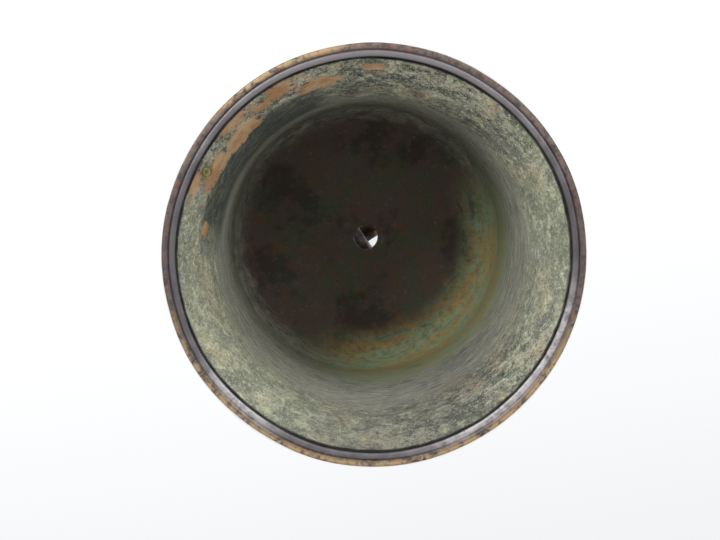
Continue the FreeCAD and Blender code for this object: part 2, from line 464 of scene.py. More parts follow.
def stud(name, radius, height, sides, z):
    # a round stud that points straight out of the waist along X
    s = reliefSizes
    deselectAll()
    bpy.ops.mesh.primitive_cylinder_add(
        vertices=sides, radius=radius, depth=height + s["sink"],
        location=(waistRadius(z) + (height - s["sink"]) / 2, 0, z), rotation=(0, math.pi / 2, 0))
    piece = namePiece(name)
    settle(piece)
    return piece


def knobAt(z):
    # a blunt knob with a narrow neck and a domed cap
    s = reliefSizes
    knob = stud("knob", s["knobRadius"], s["knobHeight"] * s["knobFoot"], s["knobSides"], z)
    selectFaces(knob, lambda face: face.normal.x > 0.9)
    bpy.ops.mesh.inset(thickness=s["knobInset"])
    for out, scale in s["knobSteps"]:
        extrude(out * s["knobHeight"], 0, 0)
        bpy.ops.transform.resize(value=(1, scale, scale))
    leaveEdit()
    return knob


def knobField():
    s = reliefSizes
    low = bodySizes["belts"][1] + bodySizes["beltHeight"]
    pitch = (bodySizes["belts"][2] - low) / s["knobRows"]
    edge = s["uprightWidth"] / 2 + s["knobMargin"] + s["knobRadius"]
    margin = math.degrees(edge / bodySizes["waistTop"][0])
    knobs = []
    for row in range(s["knobRows"]):
        first = knobAt(low + (row + 0.5) * pitch)
        for panel in range(s["uprights"]):
            for column in range(s["knobColumns"]):
                share = column / (s["knobColumns"] - 1)
                knobs.append(turnedCopy(first, panel * panelStep + margin + share * (panelStep - 2 * margin)))
        bpy.data.objects.remove(first)
    return knobs


def stepFace(steps, along):
    # the selected face goes out or in, and narrows at each step
    for out, thickness in steps:
        if out:
            extrude(*(along * out))
        bpy.ops.mesh.inset(thickness=thickness)
    leaveEdit()


def strikingDiscs():
    # a disc with a raised rim and a domed eye
    s = reliefSizes
    z = bodySizes["belts"][1] + bodySizes["beltHeight"] / 2
    disc = stud("disc", s["discRadius"], s["discHeight"] * s["discFace"], s["discSides"], z)
    selectFaces(disc, lambda face: face.normal.x > 0.9)
    stepFace(s["discSteps"], Vector((1, 0, 0)))
    eye = stud("eye", s["discEye"], s["discHeight"] * s["eyeFace"], s["eyeSides"], z)
    selectFaces(eye, lambda face: face.normal.x > 0.9)
    stepFace(s["eyeSteps"], Vector((1, 0, 0)))
    weld(disc, eye)
    discs = [turnedCopy(disc, degrees) for degrees in s["discTurns"]]
    bpy.data.objects.remove(disc)
    return discs


weld(body, joinAll("relief", uprightStrips() + knobField()))
weld(body, joinAll("discs", strikingDiscs()))
print("stage: relief on the body")


loopSizes = {
    "bar": 6.5 * mm, "sides": 40, "half": 8 * mm, "bend": 16 * mm,
    "footRadius": 10.5 * mm, "footBase": 1.6 * mm,      # the base's flat underside rests on the crown
    # each step of a foot: how far up in mm, and how wide against the step before
    "footSteps": ((0.5, 0.93), (0.2, 0.9), (1.0, 0.93), (1.2, 0.96),
                  (0.9, 0.92), (0.4, 1.06), (0.8, 1.02), (0.5, 0.92)),
    "tenon": 4.95 * mm, "tenonDepth": 4.9 * mm, "socket": 5 * mm, "socketDepth": 5 * mm,
    "grain": 8 * mm, "depth": 0.3 * mm,
    "legSteps": 16, "bendSteps": 14, "barSteps": 8, "footSides": 48,
}


def loopBar():
    # a round section is drawn up one leg, over the two bends and down the other leg
    s = loopSizes
    leg = s["half"] + s["bend"]
    middle = loopHigh.z - s["bar"]
    rise = middle - s["bend"] - crownTop
    deselectAll()
    bpy.ops.mesh.primitive_circle_add(
        vertices=s["sides"], radius=s["bar"], fill_type="NGON", location=(leg, 0, crownTop))
    bar = namePiece("loopBar")
    settle(bar)
    bpy.ops.object.mode_set(mode="EDIT")
    bpy.ops.mesh.select_mode(type="FACE")
    bpy.ops.mesh.select_all(action="SELECT")
    bendZ = middle - s["bend"]
    for n in range(s["legSteps"]):
        extrude(0, 0, rise / s["legSteps"])
    bpy.ops.mesh.spin(
        steps=s["bendSteps"], angle=math.pi / 2, center=(s["half"], 0, bendZ), axis=(0, 1, 0))
    for n in range(s["barSteps"]):
        extrude(-2 * s["half"] / s["barSteps"], 0, 0)
    bpy.ops.mesh.spin(
        steps=s["bendSteps"], angle=math.pi / 2, center=(-s["half"], 0, bendZ), axis=(0, 1, 0))
    for n in range(s["legSteps"]):
        extrude(0, 0, -rise / s["legSteps"])
    bpy.ops.mesh.select_all(action="SELECT")
    bpy.ops.mesh.remove_doubles(threshold=mergeWithin)
    bpy.ops.mesh.normals_make_consistent(inside=False)
    leaveEdit()
    return bar


def loopFoot(side):
    # a spread foot with a beaded collar
    s = loopSizes
    leg = side * (s["half"] + s["bend"])
    deselectAll()
    bpy.ops.mesh.primitive_cylinder_add(
        vertices=s["footSides"], radius=s["footRadius"], depth=s["footBase"],
        location=(leg, 0, crownTop + s["footBase"] / 2))
    foot = namePiece("loopFoot")
    settle(foot)
    selectFaces(foot, lambda face: face.normal.z > 0.9)
    for rise, scale in s["footSteps"]:
        extrude(0, 0, rise * mm)
        bpy.ops.transform.resize(value=(scale, scale, 1), center_override=(leg, 0, 0))
    leaveEdit()
    selectFaces(foot, lambda face: face.normal.z < -0.9)
    bpy.ops.mesh.inset(thickness=s["footRadius"] - s["tenon"])
    extrude(0, 0, -s["tenonDepth"])
    leaveEdit()
    return foot


loopPiece = loopBar()
weld(loopPiece, joinAll("feet", [loopFoot(1), loopFoot(-1)]))
loopPiece.name = loopPiece.data.name = "loop_and_feet"
for side in (1, -1):
    leg = side * (loopSizes["half"] + loopSizes["bend"])
    socket = (leg, 0, crownTop - loopSizes["socketDepth"])
    weld(body, rod("socket", loopSizes["socket"], socket, (leg, 0, crownTop + 2 * mm)), "DIFFERENCE")
roughen(loopPiece, "loopCast", loopSizes["grain"], loopSizes["depth"])
smooth(loopPiece, 45)

ringSizes = {"bar": 4 * mm, "around": 180, "sides": 36, "grain": 8 * mm, "depth": 0.35 * mm}
ringCentre = (ringLow + ringHigh) / 2
deselectAll()
bpy.ops.mesh.primitive_torus_add(
    major_segments=ringSizes["around"], minor_segments=ringSizes["sides"],
    major_radius=(ringHigh.z - ringLow.z) / 2 - ringSizes["bar"], minor_radius=ringSizes["bar"],
    location=ringCentre, rotation=(0, math.pi / 2, 0))
ringPiece = namePiece("forged_ring")
settle(ringPiece)
roughen(ringPiece, "ringHammered", ringSizes["grain"], ringSizes["depth"])
smooth(ringPiece, 60)

plugSizes = {
    "radius": 2.65 * mm, "pocket": 2.75 * mm, "proud": 0.3 * mm, "depth": 3 * mm,
    "height": 9 * mm, "lean": 42, "pocketPast": (0.1 * mm, 3 * mm),
    "faceSteps": ((0, 0.5 * mm), (0.25 * mm, 0.7 * mm), (-0.45 * mm, 0.4 * mm)),
}
plugMiddle = (plugLow + plugHigh) / 2
plugTurn = math.atan2(plugMiddle.y, plugMiddle.x)
plugLean = math.radians(plugSizes["lean"])      # the flared wall leans this far from upright there
plugAcross = math.cos(plugLean)
plugIn = Vector((-math.cos(plugTurn) * plugAcross, -math.sin(plugTurn) * plugAcross, -math.sin(plugLean)))
plugReach = innerRadius(plugSizes["height"])
plugFace = Vector((plugReach * math.cos(plugTurn), plugReach * math.sin(plugTurn), plugSizes["height"]))
plugBack = plugFace - plugIn * (plugSizes["depth"] - plugSizes["proud"])
plugFront = plugFace + plugIn * plugSizes["proud"]
pastBack, pastFront = plugSizes["pocketPast"]
pocket = rod("pocket", plugSizes["pocket"], plugBack - plugIn * pastBack, plugFront + plugIn * pastFront)
weld(body, pocket, "DIFFERENCE")
smooth(body, 40)
plugPiece = rod("wall_plug", plugSizes["radius"], plugBack, plugFront)
selectFaces(plugPiece, lambda face: face.normal.dot(plugIn) > 0.9)
stepFace(plugSizes["faceSteps"], plugIn)
smooth(plugPiece, 40)
print("stage: loop, ring and plug")


def addNode(tree, kind, settings=None, inputs=None):
    node = tree.nodes.new(kind)
    for key, value in (settings or {}).items():
        setattr(node, key, value)
    for key, value in (inputs or {}).items():
        if isinstance(value, bpy.types.NodeSocket):
            tree.links.new(value, node.inputs[key])
        else:
            node.inputs[key].default_value = value
    return node


def calc(tree, operation, first, second=0.0, third=0.0):
    inputs = {0: first, 1: second, 2: third}
    return addNode(tree, "ShaderNodeMath", {"operation": operation}, inputs).outputs[0]


def times(tree, first, second):
    return calc(tree, "MULTIPLY", first, second)


def ease(tree, value, low, high, atLow=0.0, atHigh=1.0):
    # a soft step from low to high
    settings = {"interpolation_type": "SMOOTHSTEP"}
    inputs = {0: value, 1: low, 2: high, 3: atLow, 4: atHigh}
    return addNode(tree, "ShaderNodeMapRange", settings, inputs).outputs[0]


def cloud(tree, place, size, detail=5.0, rough=0.65, twist=0.0):
    # cloudy noise whose lumps are about that many metres across
    inputs = {"Vector": place, "Scale": 1 / size, "Detail": detail, "Roughness": rough, "Distortion": twist}
    return addNode(tree, "ShaderNodeTexNoise", None, inputs).outputs["Fac"]


def clouds(tree, place, sizes):
    # several noises by name: the size of their lumps, detail, roughness and twist
    return {grain: cloud(tree, place, *size) for grain, size in sizes.items()}


def blend(tree, share, first, second):
    return addNode(tree, "ShaderNodeMix", {"data_type": "RGBA"}, {0: share, 6: first, 7: second}).outputs[2]


def layCoats(tree, base, noise, tones, coats):
    # each coat is a noise, where its edge starts and ends, how strong it is, and its tone
    for grain, low, high, share, tone in tones[coats]:
        base = blend(tree, times(tree, ease(tree, noise[grain], low, high), share), base, tones[tone])
    return base


def bumpsOf(noise, depths):
    return [(noise[grain], depth) for grain, depth in depths]


def colour(r, g, b):
    # display values from 0 to 255, turned to the linear values that a shader takes
    return tuple(((c / 255 + 0.055) / 1.055) ** 2.4 for c in (r, g, b)) + (1.0,)


def squashed(tree, place, scale):
    # stretching a place along Z draws the noise out along the rings of the wall
    return addNode(tree, "ShaderNodeVectorMath", {"operation": "MULTIPLY"}, {0: place, 1: scale}).outputs[0]


def startMaterial(name):
    material = bpy.data.materials.new(name)
    material.use_nodes = True
    tree = material.node_tree
    tree.nodes.clear()
    return material, tree, addNode(tree, "ShaderNodeTexCoord").outputs["Object"]


def finishMaterial(tree, base, roughness, bumps, metallic=0.0, specular=0.5):
    # bumps are (height, depth in metres) pairs, each on top of the last
    normal = None
    for height, depth in bumps:
        inputs = {"Height": height, "Distance": depth, "Strength": 1.0}
        if normal:
            inputs["Normal"] = normal
        normal = addNode(tree, "ShaderNodeBump", None, inputs).outputs[0]
    shader = addNode(tree, "ShaderNodeBsdfPrincipled", None, {
        "Base Color": base, "Roughness": roughness, "Metallic": metallic,
        "Specular IOR Level": specular, "Normal": normal})
    addNode(tree, "ShaderNodeOutputMaterial", None, {0: shader.outputs[0]})


def roundPlace(tree, place):
    # height, distance from the axis, and azimuth in degrees
    x, y, z = addNode(tree, "ShaderNodeSeparateXYZ", None, {0: place}).outputs
    reach = calc(tree, "SQRT", calc(tree, "ADD", times(tree, x, x), times(tree, y, y)))
    return z, reach, calc(tree, "DEGREES", calc(tree, "ARCTAN2", y, x))


def spotMask(tree, place, centre, size, solid=0.5):
    # 1 at a point on the surface, fading out at about that size
    settings = {"operation": "DISTANCE"}
    away = addNode(tree, "ShaderNodeVectorMath", settings, {0: place, 1: tuple(centre)}).outputs["Value"]
    return ease(tree, away, size * solid, size, 1.0, 0.0)


def sideMask(tree, azimuth, middle, half, soft):
    # 1 within half of the middle azimuth, all in degrees, and 0 past half plus soft
    turn = calc(tree, "WRAP", calc(tree, "SUBTRACT", azimuth, middle), 180.0, -180.0)
    return ease(tree, calc(tree, "ABSOLUTE", turn), half, half + soft, 1.0, 0.0)


def wallPoint(degrees, z):
    angle = math.radians(degrees)
    return innerRadius(z) * math.cos(angle), innerRadius(z) * math.sin(angle), z


patina = {
    "sage": colour(144, 141, 122), "greyGreen": colour(106, 105, 93), "deepGreen": colour(74, 88, 62),
    "paleGreen": colour(176, 182, 154), "slate": colour(66, 65, 66), "blackish": colour(36, 37, 35),
    "straw": colour(146, 126, 92), "whitish": colour(202, 202, 184), "bare": colour(166, 166, 156),
    # the tone of the dark smear, which is partly painted shade
    "tan": colour(168, 136, 100), "orange": colour(152, 112, 74), "smearAndShadeTone": colour(50, 56, 52),
    "crown": colour(88, 76, 68), "crownGreen": colour(76, 84, 66), "crownRust": colour(114, 74, 60),
    "crownPale": colour(142, 130, 108), "litCornerGreen": colour(162, 184, 148), "ochre": colour(190, 166, 108),
    # the tone of the painted shade in the seam above the roll, also used for the grime round the plug
    "seamShade": colour(22, 20, 21),
    # bare earth-coloured patches drawn out round the wall: azimuth, half width, height, half height
    "earth": ((-105, 9, 14.5 * mm, 4.5 * mm), (-118, 9, 13.5 * mm, 4 * mm), (-87, 5, 8.5 * mm, 3.5 * mm),
              (-75.5, 8, 13.5 * mm, 3.5 * mm), (-94, 4, 10 * mm, 2 * mm), (-103, 7, 7 * mm, 1.6 * mm),
              (-125, 4, 7 * mm, 2 * mm), (-139, 3, 20 * mm, 3 * mm), (-57, 4, 9 * mm, 1.6 * mm),
              (-36, 3, 120 * mm, 8 * mm)),
    # the dark smear inside the patches, which also paints the shade on that side of the flare: azimuth, half
    # width, soft edge, and the heights it comes and goes at
    "smearAndShade": (-108.0, 24.0, 20.0), "smearAndShadeFrom": (14.5 * mm, 18 * mm), "smearAndShadeTo": (90 * mm, 45 * mm),
    "smearAndShadeBroken": (0.48, 0.62, 0.95, 0.45), "smearAndShadeWander": 12 * mm,
    # coats from the lowest up: a noise, where its edge starts and ends, how strong, and the tone
    "wallCoats": (
        ("hue", 0.53, 0.61, 0.55, "straw"), ("hue", 0.47, 0.38, 0.75, "deepGreen"),
        ("middle", 0.49, 0.39, 0.9, "slate"), ("middle", 0.54, 0.63, 0.8, "paleGreen"),
        ("small", 0.47, 0.38, 0.85, "blackish"), ("small", 0.55, 0.64, 0.75, "paleGreen"),
        ("fine", 0.46, 0.36, 0.9, "blackish"), ("fine", 0.56, 0.66, 0.7, "whitish"),
        ("grit", 0.57, 0.67, 0.6, "whitish")),
    "soilCoats": (("fine", 0.44, 0.32, 0.5, "greyGreen"),),
    "crownCoats": (
        ("middle", 0.52, 0.62, 0.7, "crownRust"), ("broad", 0.5, 0.38, 0.5, "blackish"),
        ("small", 0.57, 0.72, 0.5, "crownPale"), ("fine", 0.45, 0.34, 0.5, "blackish")),
    "litBloomCoats": (("bands", 0.43, 0.34, 0.7, "crown"),),
    # soft steps: where they start and end, and what they run from and to
    "sageFrom": (0.45, 0.56), "tanFrom": (0.42, 0.56), "crownGreenFrom": (0.48, 0.62),
    "ochreFrom": (0.44, 0.56), "steepFrom": (26 * mm, 56 * mm), "bareShare": 0.4,
    "darkRings": (0.49, 0.4, 0.0, 0.85), "paleRings": (0.53, 0.61, 0.0, 0.85),
    # how far the noise pulls an earth patch's edge, and where the edge is
    "ragged": (2.2, 1.4), "earthFar": 9.0, "earthEdge": (1.1, 0.8), "earthShare": 0.9,
    # runs round the wall: azimuth, half width, soft edge; the pale runs are painted light on the lit
    # lower-left and right of the wall, and the corner run is painted light where the lit wall meets the crown
    "litWallRuns": ((178.0, 30.0, 60.0), (30.0, 14.0, 40.0)), "litWallShare": 0.22,
    "dullRun": (112.0, 12.0, 44.0), "dullShare": 0.4, "litCornerRun": (74.0, 40.0, 44.0), "litCornerShare": 0.6,
    "crownHigh": (105 * mm, 178 * mm), "crownIn": (93 * mm, 75 * mm), "crownDrift": 14 * mm,
    "litBloomIn": (56 * mm, 80 * mm), "litBloomBroken": (0.3, 0.6, 0.35, 0.9),
    "chalkAt": (26, 33 * mm), "chalkSize": (26 * mm, 0.2), "chalkBroken": (0.42, 0.6, 0.0, 0.3),
    # where the painted shade in the seam fades, and the grime round the plug
    "seamShadeFrom": (5.8 * mm, 5.1 * mm), "plugGrime": 3.4 * mm, "plugGrimeBroken": (0.4, 0.56, 0.85, 0.25),
    "bumps": (("middle", 0.6 * mm), ("rings", 0.5 * mm), ("small", 0.5 * mm),
              ("fine", 0.45 * mm), ("grit", 0.2 * mm)),
    "roughness": (0.3, 0.7, 0.62, 0.92),
}


def coatWallWithPaintedLight(tree, azimuth, noise):
    # verdigris: a broad tone, then its coats, then painted light on the lit sides and a duller side
    c = patina
    base = blend(tree, ease(tree, noise["broad"], *c["sageFrom"]), c["greyGreen"], c["sage"])
    base = layCoats(tree, base, noise, c, "wallCoats")
    # painted light on the lit sides of the wall
    left, right = [sideMask(tree, azimuth, *run) for run in c["litWallRuns"]]
    light = times(tree, calc(tree, "MAXIMUM", left, right), c["litWallShare"])
    base = blend(tree, light, base, c["paleGreen"])
    dull = times(tree, sideMask(tree, azimuth, *c["dullRun"]), c["dullShare"])
    return blend(tree, dull, base, c["slate"])


def scrapeWall(tree, base, z, noise):
    # the steep wall is barer, with dark and pale rings where the mould was scraped round
    c = patina
    steep = ease(tree, z, *c["steepFrom"])
    base = blend(tree, times(tree, steep, c["bareShare"]), base, c["bare"])
    dark = times(tree, steep, ease(tree, noise["rings"], *c["darkRings"]))
    base = blend(tree, dark, base, c["slate"])
    pale = times(tree, steep, ease(tree, noise["scratch"], *c["paleRings"]))
    return blend(tree, pale, base, c["whitish"])


def soilWall(tree, base, z, azimuth, noise):
    # earth patches, whose edges the noise breaks up
    c = patina
    earth = c["earthFar"]
    for middle, half, height, tall in c["earth"]:
        turn = calc(tree, "WRAP", calc(tree, "SUBTRACT", azimuth, float(middle)), 180.0, -180.0)
        along = times(tree, turn, 1 / half)
        across = calc(tree, "DIVIDE", calc(tree, "SUBTRACT", z, height), tall)
        away = calc(tree, "SQRT", calc(tree, "ADD", times(tree, along, along), times(tree, across, across)))
        earth = calc(tree, "MINIMUM", earth, away)
    bySmall, byMiddle = c["ragged"]
    rough = calc(tree, "ADD", times(tree, noise["small"], bySmall), times(tree, noise["middle"], byMiddle))
    edge = calc(tree, "ADD", earth, calc(tree, "SUBTRACT", (bySmall + byMiddle) / 2, rough))
    soil = blend(tree, ease(tree, noise["hue"], *c["tanFrom"]), c["orange"], c["tan"])
    soil = layCoats(tree, soil, noise, c, "soilCoats")
    return blend(tree, times(tree, ease(tree, edge, *c["earthEdge"]), c["earthShare"]), base, soil)


def coatCrownWithPaintedLight(tree, base, z, reach, azimuth, noise):
    # near black and mottled, with bands of green and ochre round one side of its corner: streaked patina,
    # with painted light where the lit wall runs into the crown
    c = patina
    crown = blend(tree, ease(tree, noise["hue"], *c["crownGreenFrom"]), c["crown"], c["crownGreen"])
    crown = layCoats(tree, crown, noise, c, "crownCoats")
    drift = times(tree, calc(tree, "SUBTRACT", noise["middle"], 0.5), c["crownDrift"])
    inward = calc(tree, "ADD", reach, drift)
    high = ease(tree, z, *c["crownHigh"])
    # painted light on the lit side of the crown's corner
    side = sideMask(tree, azimuth, *c["litCornerRun"])
    base = blend(tree, times(tree, high, times(tree, side, c["litCornerShare"])), base, c["litCornerGreen"])
    base = blend(tree, times(tree, high, ease(tree, inward, *c["crownIn"])), base, crown)
    # the painted light reaches in over the corner, under ochre streaks
    litBloom = times(tree, ease(tree, inward, *c["litBloomIn"]), times(tree, high, side))
    streaked = blend(tree, ease(tree, noise["bands"], *c["ochreFrom"]), c["litCornerGreen"], c["ochre"])
    streaked = layCoats(tree, streaked, noise, c, "litBloomCoats")
    share = times(tree, litBloom, ease(tree, noise["small"], *c["litBloomBroken"]))
    return blend(tree, share, base, streaked)


def innerPatinaAndPaintedLight():
    # verdigris and patina, with painted light and painted shade laid on them
    c = patina
    material, tree, place = startMaterial("verdigrisWithPaintedLightInside")
    z, reach, azimuth = roundPlace(tree, place)
    lain = squashed(tree, place, (1.0, 1.0, 2.2))
    rounded = addNode(tree, "ShaderNodeCombineXYZ", None, {
        0: times(tree, azimuth, 0.25 * mm), 1: reach, 2: times(tree, z, 0.7)}).outputs[0]
    noise = {
        "broad": cloud(tree, lain, 34 * mm, 6.0, 0.65, 0.1), "hue": cloud(tree, lain, 20 * mm, 6.0, 0.65),
        "middle": cloud(tree, lain, 10 * mm, 8.0, 0.75, 0.1), "small": cloud(tree, lain, 4.5 * mm, 7.0, 0.75),
        "fine": cloud(tree, lain, 1.8 * mm, 5.0, 0.75), "grit": cloud(tree, place, 0.9 * mm, 3.0, 0.7),
        "rings": cloud(tree, squashed(tree, place, (1.0, 1.0, 7.0)), 16 * mm, 8.0, 0.76),
        "scratch": cloud(tree, squashed(tree, place, (1.0, 1.0, 14.0)), 9 * mm, 7.0, 0.8),
        "bands": cloud(tree, rounded, 7 * mm, 6.0, 0.7),
    }
    base = coatWallWithPaintedLight(tree, azimuth, noise)
    base = scrapeWall(tree, base, z, noise)
    # a dark smear on the flare that is partly painted shade
    cloudy = calc(tree, "SUBTRACT", noise["middle"], 0.5)
    wander = calc(tree, "MULTIPLY_ADD", cloudy, c["smearAndShadeWander"], z)
    smearAndShade = times(tree, sideMask(tree, azimuth, *c["smearAndShade"]), ease(tree, wander, *c["smearAndShadeFrom"]))
    smearAndShade = times(tree, smearAndShade, ease(tree, z, *c["smearAndShadeTo"]))
    smearAndShade = times(tree, smearAndShade, ease(tree, noise["scratch"], *c["smearAndShadeBroken"]))
    base = blend(tree, smearAndShade, base, c["smearAndShadeTone"])
    chalk = spotMask(tree, place, wallPoint(*c["chalkAt"]), *c["chalkSize"])
    base = blend(tree, times(tree, chalk, ease(tree, noise["fine"], *c["chalkBroken"])), base, c["whitish"])
    base = soilWall(tree, base, z, azimuth, noise)
    base = coatCrownWithPaintedLight(tree, base, z, reach, azimuth, noise)
    # painted shade in the seam above the roll, and grime round the plug
    seamShadeAndGrime = ease(tree, z, *c["seamShadeFrom"])
    around = spotMask(tree, place, plugFace, plugSizes["radius"] + c["plugGrime"])
    around = times(tree, around, ease(tree, noise["small"], *c["plugGrimeBroken"]))
    base = blend(tree, calc(tree, "MAXIMUM", seamShadeAndGrime, around), base, c["seamShade"])
    roughness = ease(tree, noise["middle"], *c["roughness"])
    finishMaterial(tree, base, roughness, bumpsOf(noise, c["bumps"]), specular=0.3)
    return material


bronze = {
    "brown": colour(84, 66, 48), "black": colour(44, 38, 33), "rubbed": colour(164, 126, 76),
    "green": colour(92, 110, 88), "pale": colour(128, 146, 120), "rust": colour(108, 64, 42),
    "clouds": {"broad": (48 * mm, 6.0, 0.62, 0.3), "middle": (12 * mm, 7.0, 0.7, 0.3),
               "fine": (2.4 * mm, 6.0, 0.74)},
    "dripStretch": (1.0, 1.0, 0.12), "dripCloud": (7 * mm, 5.0, 0.65),
    "brownFrom": (0.38, 0.6), "coats": (("middle", 0.56, 0.7, 0.5, "rust"),),
    "greenFrom": (0.5, 0.34), "greenShare": 0.55, "paleFrom": (0.4, 0.6),
    # green drips: how far under a belt they reach, how near its foot they stop, how they break up
    "dripFall": 22 * mm, "dripStop": 0.2 * mm, "dripBroken": (0.44, 0.64, 0.0, 0.9),
    # wear: the heights it comes and goes at, how proud it starts and is full, how it breaks up
    "wearFoot": (52 * mm, 58 * mm), "wearTop": (182 * mm, 176 * mm), "wearProud": (0.5 * mm, 1.5 * mm),
    "wearBroken": (0.34, 0.6, 0.15, 0.9),
    "shine": (0.3, 0.7, 0.36, 0.56), "greenShine": 0.3, "metal": 0.85, "greenMetal": -0.9,
    "bumps": (("middle", 0.35 * mm), ("fine", 0.22 * mm)),
    "loopClouds": {"broad": (14 * mm, 6.0, 0.62, 0.3), "fine": (2.0 * mm, 6.0, 0.72)},
    "loopCoats": (("broad", 0.55, 0.68, 0.8, "rubbed"), ("fine", 0.46, 0.32, 0.6, "green")),
    "loopBumps": (("broad", 0.25 * mm), ("fine", 0.16 * mm)), "loopShine": (0.3, 0.7, 0.58, 0.34),
}


def outerBronze():
    # wear shows on whatever stands proud of the plain waist, and green gathers under the belts
    c = bronze
    material, tree, place = startMaterial("bronzeOutside")
    z, reach = roundPlace(tree, place)[:2]
    noise = clouds(tree, place, c["clouds"])
    run = cloud(tree, squashed(tree, place, c["dripStretch"]), *c["dripCloud"])
    base = blend(tree, ease(tree, noise["broad"], *c["brownFrom"]), c["black"], c["brown"])
    base = layCoats(tree, base, noise, c, "coats")
    green = times(tree, ease(tree, noise["middle"], *c["greenFrom"]), c["greenShare"])
    under = 0.0
    for foot in bodySizes["belts"]:
        stop = ease(tree, z, foot + c["dripStop"], foot)
        below = times(tree, ease(tree, z, foot - c["dripFall"], foot), stop)
        under = calc(tree, "MAXIMUM", under, below)
    green = calc(tree, "MAXIMUM", green, times(tree, under, ease(tree, run, *c["dripBroken"])))
    greens = blend(tree, ease(tree, noise["fine"], *c["paleFrom"]), c["green"], c["pale"])
    base = blend(tree, green, base, greens)
    foot, top = bodySizes["skirtTop"], bodySizes["waistTop"]
    slope = (top[0] - foot[0]) / (top[1] - foot[1])
    proud = calc(tree, "SUBTRACT", reach, calc(tree, "MULTIPLY_ADD", z, slope, foot[0] - slope * foot[1]))
    wear = times(tree, ease(tree, z, *c["wearFoot"]), ease(tree, z, *c["wearTop"]))
    wear = times(tree, wear, ease(tree, proud, *c["wearProud"]))
    wear = times(tree, wear, ease(tree, noise["middle"], *c["wearBroken"]))
    base = blend(tree, wear, base, c["rubbed"])
    shine = calc(tree, "MULTIPLY_ADD", green, c["greenShine"], ease(tree, noise["middle"], *c["shine"]))
    metal = calc(tree, "MULTIPLY_ADD", green, c["greenMetal"], c["metal"])
    finishMaterial(tree, base, shine, bumpsOf(noise, c["bumps"]), metallic=metal)
    return material


def loopBronze():
    c = bronze
    material, tree, place = startMaterial("bronzeLoop")
    noise = clouds(tree, place, c["loopClouds"])
    base = blend(tree, ease(tree, noise["broad"], *c["brownFrom"]), c["black"], c["brown"])
    base = layCoats(tree, base, noise, c, "loopCoats")
    shine = ease(tree, noise["broad"], *c["loopShine"])
    finishMaterial(tree, base, shine, bumpsOf(noise, c["loopBumps"]), metallic=c["metal"])
    return material


iron = {
    "grey": colour(78, 75, 73), "bright": colour(126, 122, 118), "rust": colour(118, 74, 48),
    "scale": colour(42, 39, 38), "brightFrom": (0.38, 0.62),
    "clouds": {"broad": (10 * mm, 6.0, 0.66, 0.3), "fine": (1.5 * mm, 5.0, 0.75)},
    "coats": (("fine", 0.52, 0.66, 0.7, "rust"), ("broad", 0.44, 0.32, 0.7, "scale")),
    "bumps": (("broad", 0.35 * mm), ("fine", 0.16 * mm)), "shine": (0.3, 0.7, 0.45, 0.72), "metal": 0.7,
}


def forgedIron():
    c = iron
    material, tree, place = startMaterial("forgedIron")
    noise = clouds(tree, place, c["clouds"])
    base = blend(tree, ease(tree, noise["broad"], *c["brightFrom"]), c["grey"], c["bright"])
    base = layCoats(tree, base, noise, c, "coats")
    shine = ease(tree, noise["fine"], *c["shine"])
    finishMaterial(tree, base, shine, bumpsOf(noise, c["bumps"]), metallic=c["metal"])
    return material


lipTones = {
    "roll": colour(78, 74, 77), "rollLight": colour(106, 101, 103), "rollDark": colour(60, 56, 60),
    # the tone of the painted highlight on the roll
    "rollHighlight": colour(178, 173, 172),
    "band": colour(88, 74, 70), "bandDark": colour(54, 46, 46), "tan": colour(112, 95, 83),
    "gold": colour(172, 144, 100), "red": colour(112, 72, 56), "grain": colour(138, 130, 125),
    # the tone of the painted shade in the crevice between the roll and the wall
    "crevice": colour(30, 26, 28),
    # where a highlight is painted on the roll: azimuth, half width, soft edge
    "highlightRuns": ((74.0, 20.0, 22.0), (166.0, 3.0, 16.0)),
    # the runs that are rubbed to gold: azimuth, half width, soft edge
    "goldRuns": ((92.0, 26.0, 30.0), (-84.0, 12.0, 14.0), (150.0, 30.0, 30.0)),
    # where painted shade darkens the lip, and where painted light lightens the roll: azimuth, half width,
    # soft edge
    "shadeRuns": ((33.0, 12.0, 26.0), (-147.0, 12.0, 30.0)), "rollShade": 0.6, "bandShade": 0.4,
    "paintedLightRun": (-57.0, 20.0, 40.0), "paintedLightShare": 0.9,
    "clouds": {"broad": (26 * mm, 5.0, 0.6, 0.3), "middle": (6 * mm, 7.0, 0.72, 0.3),
               "patch": (9 * mm, 5.0, 0.66, 0.3), "fine": (1.5 * mm, 6.0, 0.74)},
    "rollLightFrom": (0.4, 0.62), "rollCoats": (("middle", 0.44, 0.3, 0.4, "rollDark"),),
    "highlightBroken": (0.36, 0.6, 0.25, 0.9), "bandFrom": (0.42, 0.58),
    "bandCoats": (("patch", 0.5, 0.62, 0.6, "tan"), ("patch", 0.46, 0.36, 0.7, "red")),
    "topCoats": (("fine", 0.44, 0.32, 0.45, "bandDark"), ("fine", 0.58, 0.7, 0.3, "grain")),
    # gold: how far past the valley it starts and is full, how strong, and the heights it fades over
    "goldPast": (0.8 * mm, 2 * mm), "goldInner": 0.35, "goldShare": 0.72, "goldLeast": 0.08,
    "goldHeight": (9 * mm, 3 * mm), "goldHigh": 0.15, "goldWander": 5 * mm, "goldBroken": (0.38, 0.54),
    "bandPast": (-0.1 * mm, 1.0 * mm), "bandWander": 0.8 * mm,
    # where the painted shade in the crevice starts and how high it reaches
    "seamShadePast": (0.4 * mm, 0.1 * mm), "seamShadeHeight": (2.2 * mm, 3.0 * mm),
    "shine": (0.3, 0.7, 0.34, 0.46), "bandShine": 0.16, "bandBump": 0.3 * mm, "fineBump": 0.14 * mm,
}


def widest(tree, azimuth, runs):
    # 1 in any of the runs
    mask = 0.0
    for run in runs:
        mask = calc(tree, "MAXIMUM", mask, sideMask(tree, azimuth, *run))
    return mask


